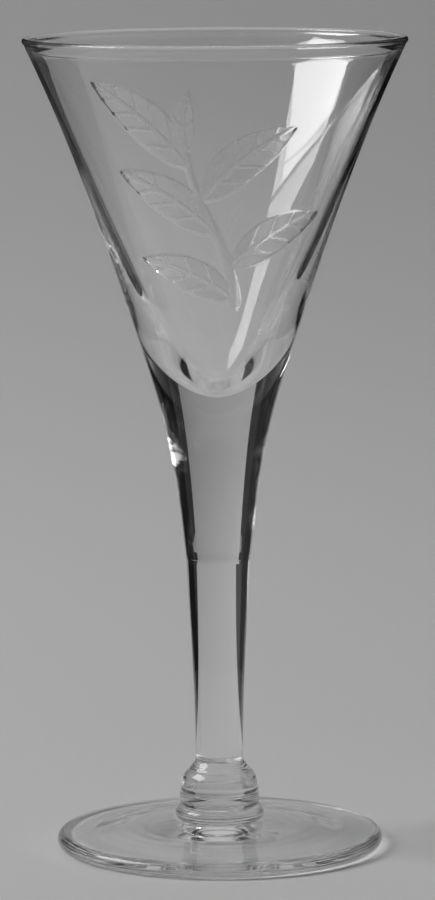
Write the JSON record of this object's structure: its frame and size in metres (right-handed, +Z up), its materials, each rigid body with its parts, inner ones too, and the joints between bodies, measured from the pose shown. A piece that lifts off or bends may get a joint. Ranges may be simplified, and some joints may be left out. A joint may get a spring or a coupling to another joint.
{
  "type": "sherry glass",
  "caption": "Stemmed drinking glass with a flared conical bowl, a tapering solid stem, a bell-shaped knop and a round foot, for serving sherry.",
  "frame": {"origin": "centre of the resting ring under the foot, on the surface that the glass stands on", "axes": "+Z up along the glass's own axis, towards the rim; X and Y lie in the plane of the foot"},
  "size_m": [0.0704, 0.0704, 0.15],
  "materials": {
    "bowl_glass": "blown clear glass, fire-polished, with a matt engraved sprig outside",
    "stem_glass": "drawn clear glass, fire-polished",
    "foot_glass": "spun clear glass, fire-polished"
  },
  "bodies": {
    "root": {"foot": "foot_glass", "collar": "stem_glass", "knop": "stem_glass", "lower_stem": "stem_glass", "upper_stem": "stem_glass", "bowl": "bowl_glass"}
  },
  "joints": []
}
